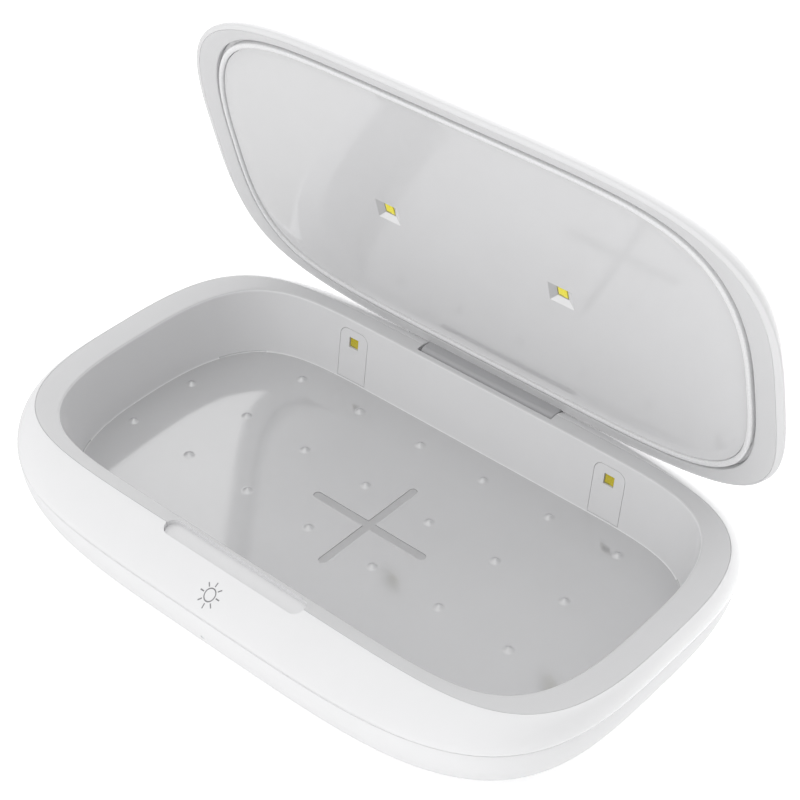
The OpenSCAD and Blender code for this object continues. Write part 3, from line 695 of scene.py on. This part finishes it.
def build_tub():
    tub = tub_solid("base.tub")
    shelf = notch_solid("c", 0, RIM_CREST - NOTCH_DEPTH - 1.6, 1.6)
    combine(tub, [notch_solid("c", 0, RIM_CREST - NOTCH_DEPTH)], "DIFFERENCE")
    combine(tub, [shelf], "UNION")
    z = FLOOR - 0.5
    bar = [(x, y, z) for x, y in slot_points(2 * MARK_REACH, MARK_WIDTH)]
    cross = [(-y, x, z) for x, y in slot_points(2 * MARK_REACH - 1.4, MARK_WIDTH)]
    groove = [extrude("c", bar, (0, 0, 1)), extrude("c", cross, (0, 0, 1))]
    cutters = groove + [box("c", (-RECESS_HALF, RECESS_Y, 28), (RECESS_HALF, 60, 40)),
                        rod("c", RECESS_HALF - 1, PIN_REACH + 0.2, AXIS_Y, AXIS_Z, 2.02),
                        rod("c", -PIN_REACH - 0.2, 1 - RECESS_HALF, AXIS_Y, AXIS_Z, 2.02),
                        cover_prism("c", LAMP_X, SEAM), cover_prism("c", -LAMP_X, SEAM)]
    combine(tub, cutters, "DIFFERENCE")
    bumps = []
    for i in range(8):
        for j in range(4):
            x, y = (i - 3.5) * BUMP_PITCH, (j - 1.5) * BUMP_PITCH
            if abs(x) < 3 * BUMP_PITCH or abs(y) < BUMP_PITCH:
                bumps.append(bump(x, y))
    tub = join("base.tub", [tub] + bumps)
    finish_piece(tub, RIM, "base", "tub_grey", "tub")
    tub.data.materials.append(WALL_PAINTED_LIGHT)
    tub.data.materials.append(FLOOR_SKIN)
    tub.data.materials.append(NOTCH_PAINTED_LIGHT)
    for f in tub.data.polygons:
        z = f.center.z / MM
        x, y = abs(f.center.x), abs(f.center.y)
        inside = x < (OPENING_LENGTH / 2 + 0.2) * MM and y < (OPENING_WIDTH / 2 + 0.2) * MM
        in_notch = (abs(f.center.y / MM - NOTCH_Y) < NOTCH_WIDTH / 2 + 0.02
                    and x < (NOTCH_LENGTH / 2 + 0.1) * MM)
        # notch faces take the lighter copy of the rim plastic: painted light over their shadow
        if in_notch and RIM_CREST - NOTCH_DEPTH - 1.7 < z < RIM_CREST - 0.5:
            f.material_index = 3
        elif inside and FLOOR - 1 < z < FLOOR + 1.2 and (f.normal.z > 0.96 or x < 94 * MM and y < 42 * MM):
            f.material_index = 2
        # wall faces take the lighter copy of the tub plastic: painted light
        elif inside and FLOOR - 0.1 <= z < RIM_HEIGHT - 0.2 and f.normal.z < 0.96:
            f.material_index = 1
    return tub


def build_lamp_cover(side, x):
    cover = tub_solid("base.lamp_cover_" + side)
    bm = bmesh.new()
    bm.from_mesh(cover.data)
    bmesh.ops.triangulate(bm, faces=bm.faces)
    bm.to_mesh(cover.data)
    bm.free()
    combine(cover, [cover_prism("c", x, 0)], "INTERSECT")
    hole = box("c", (x - COVER_OPENING, 45, LAMP_Z - COVER_OPENING),
               (x + COVER_OPENING, 60, LAMP_Z + COVER_OPENING))
    combine(cover, [hole], "DIFFERENCE")
    # the cover takes the walls' lighter copy of the tub plastic: painted light
    return finish_piece(cover, WALL_PAINTED_LIGHT, "base", "tub_grey", "lamp_cover_" + side, angle=4)


def casing_face_height(y):
    """Height of the casing's front face at x = 0, for a distance y in front of the middle."""
    b0, b1 = RIM_WIDTH / 2 + SEAM, BODY_WIDTH / 2
    u = min(max((y - b0) / (b1 - b0), 0), 1)
    s = u ** (CASING_ROUND / 2)
    w = max(1 - s * s, 0) ** (1 / CASING_ROUND)
    return PARTING + (RIM_CREST - PARTING) * w


def face_patch(name, strips):
    """Printed film that lies on the casing's front face; strips are lists of (x, y) pairs of points."""
    points, faces = [], []
    for strip, closed in strips:
        start = len(points)
        for (x0, y0), (x1, y1) in strip:
            for x, y, lift in ((x0, y0, 0.035), (x1, y1, 0.035), (x0, y0, -0.02), (x1, y1, -0.02)):
                points.append((x, -y, casing_face_height(y) + lift))
        n = len(strip)
        for i in range(n if closed else n - 1):
            p, q = start + 4 * i, start + 4 * ((i + 1) % n)
            faces += [(p, p + 1, q + 1, q), (p + 2, q + 2, q + 3, p + 3), (p, q, q + 2, p + 2),
                      (p + 1, p + 3, q + 3, q + 1)]
        if not closed:
            e = start + 4 * (n - 1)
            faces += [(start, start + 2, start + 3, start + 1), (e, e + 1, e + 3, e + 2)]
    return mesh_object(name, np.array(points, float), faces)


def build_key_symbol():
    """Sun symbol on the touch key: a ring with eight rays."""
    cy, squash = 66.1, 0.94
    ring = []
    for k in range(64):
        t = 2 * math.pi * k / 64
        ring.append([(r * math.cos(t), cy + squash * r * math.sin(t)) for r in (1.6, 1.93)])
    strips = [(ring, True)]
    for k in range(8):
        t = math.pi * k / 4
        d, side = (math.cos(t), math.sin(t)), (-math.sin(t), math.cos(t))
        ray = []
        for s in range(7):
            r = 2.35 + 1.3 * s / 6
            ray.append([(r * d[0] + h * side[0], cy + squash * (r * d[1] + h * side[1]))
                        for h in (-0.17, 0.17)])
        strips.append((ray, False))
    symbol = face_patch("base.key_symbol", strips)
    return finish_piece(symbol, INK, "base", "ink_grey", "key_symbol")


# ---------------------------------------------------------------------------
# Lid
# ---------------------------------------------------------------------------
def hinge_side(z, inward):
    """Half width of the lid towards the hinge at height z."""
    up = max(z - LID_BACK_LOW, 0) / (LID_HEIGHT - inward - LID_BACK_LOW)
    fall = max(LID_BACK_LOW - z, 0)
    lean = 1 - math.cos(math.asin(min(up ** (DOME_ROUND / 2), 1))) ** (2 / DOME_ROUND)
    return LID_BACK - inward - LID_BACK_FALL * fall * fall - LID_BACK_INSET * lean


def lid_ring(t, inward):
    """Lid dome, from its widest line at 0 to the flat top at 90 degrees."""
    t = math.radians(t)
    up = math.sin(t) ** (2 / LID_ROUND)
    draw = LID_TRIM + inward + LID_INSET * (1 - max(math.cos(t), 0) ** (2 / LID_ROUND))
    z = LID_LOW + (LID_HEIGHT - inward - LID_LOW) * up
    return lid_outline(z, LID_LENGTH / 2 - draw, LID_WIDTH / 2 - draw, hinge_side(z, inward),
                       mix_shape(LID_WIDE_SHAPE, LID_TOP_SHAPE, up))


def build_lid_shell():
    rings = [lid_ring(20 + 10 * k, WALL) for k in range(7, -1, -1)]
    rings += [seam_outline(3, -1.2), seam_outline(2.8, -0.6), seam_outline(1, -0.6)]
    lip = [seam_outline(0.12, 0), seam_outline(0.02, 0.08), seam_outline(0, 0.25),
           seam_outline(0.15, 0.8, mix_shape(LID_EDGE_SHAPE, LID_WIDE_SHAPE, 0.4)),
           lid_ring(0, 0), lid_ring(8, 0)]
    rings += rounded(lip, 5)
    rings += [lid_ring(8 + 82 * (k / (2 * FINE)) ** 1.1, 0) for k in range(1, 2 * FINE + 1)]
    shell = loft("lid.shell", on_joint(rings))
    half = BLOCK_LENGTH / 2 + 0.1
    combine(shell, [box("c", (-half, 45, 38.4), (half, 57.5, 40.5)),
                    box("c", (-half, 55.1, 35), (half, 60, 40.5))], "DIFFERENCE")
    return finish_piece(open_lid(shell), LID_GLOSS, "lid", "gloss_white", "lid_shell")


def quarter(steps):
    """Cosine and sine through a quarter turn."""
    return [(math.cos(math.pi * k / (2 * steps)), math.sin(math.pi * k / (2 * steps)))
            for k in range(steps + 1)]


def build_lid_frame():
    outer = [seam_outline(0.25 - 0.25 * n, -LID_GAP - 0.25 + 0.25 * c) for c, n in quarter(4)]
    inner = [groove_outline(0.35 - 0.35 * c, 0.35 - 0.35 * n) for c, n in quarter(4)]
    rings = [seam_outline(FRAME_THICK, -SEAM - 0.6), seam_outline(1, -SEAM - 0.6)]
    rings += outer + between(outer[-1], inner[0], 4) + inner + [groove_outline(FRAME_THICK, 0)]
    piece = loft("lid.frame", on_joint(rings), closed=True)
    return finish_piece(open_lid(piece), FRAME, "lid", "frame_grey", "lid_frame")


def build_lid_seal():
    rings = [groove_outline(1.7, -1), groove_outline(1.7, -2.6)]
    for k in range(13):
        s = math.radians(180 * k / 12)
        rings.append(groove_outline(0.15 - 0.65 * math.sin(s), -1.8 - 0.8 * math.cos(s)))
    seal = open_lid(loft("lid.seal", on_joint(rings), closed=True))
    return finish_piece(seal, SEAL, "lid", "seal_grey", "lid_seal")


def pocket(x):
    """Square lamp pocket with sloping sides, sunk into the reflector."""
    wide, front, rear, inner, low, high = 4.4, 3.2, 4.2, 2.05, -0.6, POCKET_DEPTH
    grow = low / POCKET_DEPTH
    w, f, r = wide - (wide - inner) * grow, front - (front - inner) * grow, rear - (rear - inner) * grow
    base = np.array([x, LID_SHIFT + 0.3, JOINT_Z + RISE])
    points = [(-w, -f, low), (w, -f, low), (w, r, low), (-w, r, low),
              (-inner, -inner, high), (inner, -inner, high), (inner, inner, high), (-inner, inner, high)]
    faces = [(0, 1, 2, 3), (7, 6, 5, 4), (0, 4, 5, 1), (1, 5, 6, 2), (2, 6, 7, 3), (3, 7, 4, 0)]
    shape = mesh_object("c", np.array(points) + base, faces)
    hole = box("c", tuple(base + (-inner, -inner, 0.5)), tuple(base + (inner, inner, 6.5)))
    return [shape, hole]


def build_reflector():
    half = POCKET_SPACING / 2
    shoulder = [groove_outline(RISE, -9), groove_outline(RISE - 0.04, -7), groove_outline(RISE - 0.15, -5.2),
                groove_outline(RISE - 0.42, -3.6), groove_outline(RISE - 0.65, -2.75)]
    rings = rounded(shoulder, 4)
    rings += [groove_outline(1.8, -2.75), groove_outline(1.8, -0.1), groove_outline(FRAME_THICK + 0.1, -0.1),
              groove_outline(FRAME_THICK + 0.1, 0.6), groove_outline(FRAME_THICK + 0.9, 0.6),
              groove_outline(FRAME_THICK + 0.9, -4.2), groove_outline(RISE + 1.4, -5)]
    panel = loft("lid.reflector", on_joint(rings))
    blocks = [box("c", (x - 7, LID_SHIFT - 5.7, JOINT_Z + RISE + 0.6),
                  (x + 7, LID_SHIFT + 6.3, JOINT_Z + RISE + POCKET_DEPTH + 0.9)) for x in (-half, half)]
    combine(panel, blocks, "UNION")
    combine(panel, pocket(-half) + pocket(half) + [box("c", (-28, 44.5, 37.9), (28, 60, 41))], "DIFFERENCE")
    # the pocket facets that face right get a darker skin: painted shade on the sloping sides
    side = [f.index for f in panel.data.polygons
            if f.normal.x > 0.25 and f.center.z < (JOINT_Z + RISE + 1.05) * MM
            and abs(abs(f.center.x) - half * MM) < 6 * MM and abs(f.center.y) < 5 * MM]
    finish_piece(open_lid(panel), PANEL, "lid", "reflector_grey", "reflector", angle=12)
    panel.data.materials.append(POCKET_PAINTED_SHADE)
    for i in side:
        panel.data.polygons[i].material_index = 1
    return panel


def place_lamp(name, matrix, body, node, window_material, frame_width):
    """Square lamp package with a narrow frame around a slightly domed yellow window."""
    s, deep = LAMP_SIDE / 2, 0.9
    case = box(name, (-s, -s, -deep), (s, s, 0))
    bm = bmesh.new()
    bm.from_mesh(case.data)
    bmesh.ops.bevel(bm, geom=bm.edges[:], offset=0.1 * MM, segments=2, affect="EDGES", profile=0.6)
    count = len(bm.faces)
    w, rows = s - frame_width, 10
    points, faces = [], []
    for j in range(rows + 1):
        for i in range(rows + 1):
            x, y = -1 + 2 * i / rows, -1 + 2 * j / rows
            points.append((w * x, w * y, 0.01 + 0.1 * (1 - x ** 4) * (1 - y ** 4)))
    for j in range(rows):
        for i in range(rows):
            p = j * (rows + 1) + i
            faces.append((p, p + 1, p + rows + 2, p + rows + 1))
    window = mesh_object("c", np.array(points), faces)
    bm.from_mesh(window.data)
    bm.faces.ensure_lookup_table()
    for f in bm.faces[count:]:
        f.material_index = 1
    bm.to_mesh(case.data)
    bm.free()
    drop(window)
    lamp = transform(case, matrix)
    smooth(lamp, 40)
    lamp.data.materials.append(CERAMIC)
    lamp.data.materials.append(window_material)
    lamp.visible_glossy = False  # else it shows too brightly in the glossy floor and panel
    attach(lamp, body)
    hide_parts(node)
    return lamp


def build_lamps():
    for side, x in (("left", -POCKET_SPACING / 2), ("right", POCKET_SPACING / 2)):
        height = JOINT_Z + RISE + POCKET_DEPTH + 0.02
        spot = Matrix.Translation((x * MM, (LID_SHIFT + 0.3) * MM, height * MM))
        place_lamp("lid.lamp_" + side, HINGE @ spot @ Matrix.Rotation(math.pi, 4, "X"), "lid",
                   "lid_lamp_" + side, PHOSPHOR, 0.22)
    depth = FLOOR_B + (LAMP_Z - FLOOR) * math.tan(DRAFT)
    for side, x in (("left", -LAMP_X), ("right", LAMP_X)):
        spot = Matrix.Translation((x * MM, (depth - 0.1) * MM, LAMP_Z * MM)) @ Matrix.Rotation(-DRAFT, 4, "X")
        face = spot @ Matrix.Translation((0, 0.55 * MM, 0)) @ Matrix.Rotation(math.pi / 2, 4, "X")
        place_lamp("base.wall_lamp_" + side, face, "base", "wall_lamp_" + side, DARK_PHOSPHOR, 0.16)


def build_hinge_block():
    """Hinge block, drawn solid: its bore is hidden, and the lamp lead runs inside."""
    profile = [(54.28, 32.6), (55.18, 35.45), (55.18, 38.5), (47.5, 38.5), (47.5, 40.3), (54.6, 40.3),
               (57, 38.2), (57.8, 35.6), (58.75, 32.6)]
    half = BLOCK_LENGTH / 2
    block = extrude("lid.hinge_block", [(-half, y, z) for y, z in profile], (BLOCK_LENGTH, 0, 0))
    bm = bmesh.new()
    bm.from_mesh(block.data)
    bmesh.ops.bevel(bm, geom=bm.edges[:], offset=0.3 * MM, segments=3, affect="EDGES", profile=0.5)
    bm.to_mesh(block.data)
    bm.free()
    barrel = [(2.0, -half), (2.3, -half + 0.3), (2.3, half - 0.3), (2.0, half)]
    combine(block, [lathe("c", barrel, (0, AXIS_Y, AXIS_Z), "X", 64)], "UNION")
    return finish_piece(open_lid(block), BLOCK, "lid", "block_grey", "hinge_block")


# ---------------------------------------------------------------------------
# Everything on the box
# ---------------------------------------------------------------------------
build_lower_shell()
build_upper_casing()
build_tub()
build_lamp_cover("left", -LAMP_X)
build_lamp_cover("right", LAMP_X)
build_key_symbol()
build_lid_shell()
build_lid_frame()
build_lid_seal()
build_reflector()
build_hinge_block()
build_lamps()

KEPT = {
    "charge_mark": MARK, "wall_lamp_board_left": PALE_BOARD, "wall_lamp_board_right": PALE_BOARD,
    "charging_coil": COPPER, "ferrite_sheet": FERRITE, "main_board": GREEN, "usb_socket": STEEL,
    "control_chip": CHIP, "driver_chip": CHIP, "power_inductor": FERRITE, "board_plug": PLUG,
    "base_ribbon": PLUG, "front_board": GREEN, "touch_plug": FOAM, "lid_sensor": CHIP,
    "indicator_lamp": PLUG, "light_pipe": CLEAR, "hinge_wire": WIRE, "shell_screws": SCREW,
    "rubber_feet": FOOT, "lid_lamp_board": PALE_BOARD, "lid_magnet": STEEL, "hinge_pin": STEEL,
    "hinge_tube": STEEL, "block_screws": SCREW, "lid_wire": WIRE}
for name, material in KEPT.items():
    paint(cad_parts[name], material)


# ---------------------------------------------------------------------------
# Floor, light and camera
# ---------------------------------------------------------------------------
def build_floor():
    n = Nodes("floor_white_sheet")
    n.set("Base Color", n.blend(n.noise(9, 2.0), colour(250, 250, 250), colour(253, 253, 253)))
    n.set("Roughness", 0.85)
    n.set("Specular IOR Level", 0.1)
    n.set("Emission Color", (1, 1, 1, 1))
    n.set("Emission Strength", 0.29)
    size = 3.0
    mesh = bpy.data.meshes.new("stage_floor")
    corners = [(-size, -size, 0), (size, -size, 0), (size, size, 0), (-size, size, 0)]
    mesh.from_pydata(corners, [], [(0, 1, 2, 3)])
    floor = link(mesh, "stage_floor")
    floor.visible_glossy = False  # else it whitens the glossy panel from below
    paint(floor, n.material)


# Brightness of the studio towards each side: left and right, front and back, below and above
STUDIO = (("X", 0.63, 0.12), ("Y", 1.35, 2.07), ("Z", 0.6, 1.21))


def build_light():
    """Soft studio: a sky that changes smoothly from side to side."""
    world = bpy.data.worlds.new("studio")
    bpy.context.scene.world = world
    world.use_nodes = True
    tree = world.node_tree
    back = tree.nodes["Background"]
    back.inputs["Color"].default_value = (1, 1, 1, 1)
    split = tree.nodes.new("ShaderNodeSeparateXYZ")
    tree.links.new(tree.nodes.new("ShaderNodeTexCoord").outputs["Generated"], split.inputs[0])
    total = None
    for axis, low, high in STUDIO:
        side = tree.nodes.new("ShaderNodeMath")
        side.operation = "GREATER_THAN"
        side.inputs[1].default_value = 0
        tree.links.new(split.outputs[axis], side.inputs[0])
        level = tree.nodes.new("ShaderNodeMapRange")
        level.inputs["To Min"].default_value = low
        level.inputs["To Max"].default_value = high
        tree.links.new(side.outputs[0], level.inputs["Value"])
        square = tree.nodes.new("ShaderNodeMath")
        square.operation = "POWER"
        square.inputs[1].default_value = 2
        tree.links.new(split.outputs[axis], square.inputs[0])
        part = tree.nodes.new("ShaderNodeMath")
        part.operation = "MULTIPLY"
        tree.links.new(square.outputs[0], part.inputs[0])
        tree.links.new(level.outputs["Result"], part.inputs[1])
        if total is None:
            total = part.outputs[0]
        else:
            add = tree.nodes.new("ShaderNodeMath")
            tree.links.new(total, add.inputs[0])
            tree.links.new(part.outputs[0], add.inputs[1])
            total = add.outputs[0]
    tree.links.new(total, back.inputs["Strength"])


# The fitted camera: degrees, then millimetres
CAMERA_AZIMUTH, CAMERA_ELEVATION = 41.25, 38.6
SENSOR_WIDTH, CAMERA_LENS = 36, 88.74
CAMERA_PLACE = (301.19, -329.04, 404.78 + FLOOR)


def build_camera():
    azimuth, elevation = math.radians(CAMERA_AZIMUTH), math.radians(CAMERA_ELEVATION)
    back = Vector((math.sin(azimuth) * math.cos(elevation), -math.cos(azimuth) * math.cos(elevation),
                   math.sin(elevation)))
    right = Vector((0, 0, 1)).cross(back).normalized()
    up = back.cross(right)
    data = bpy.data.cameras.new("camera")
    data.sensor_width = SENSOR_WIDTH
    data.lens = CAMERA_LENS
    data.clip_start = 0.02
    camera = bpy.data.objects.new("camera", data)
    matrix = Matrix((right, up, back)).transposed().to_4x4()
    matrix.translation = Vector(CAMERA_PLACE) * MM
    camera.matrix_world = matrix
    bpy.context.scene.collection.objects.link(camera)
    bpy.context.scene.camera = camera


build_floor()
build_light()
build_camera()
bpy.context.scene.view_settings.view_transform = "Standard"
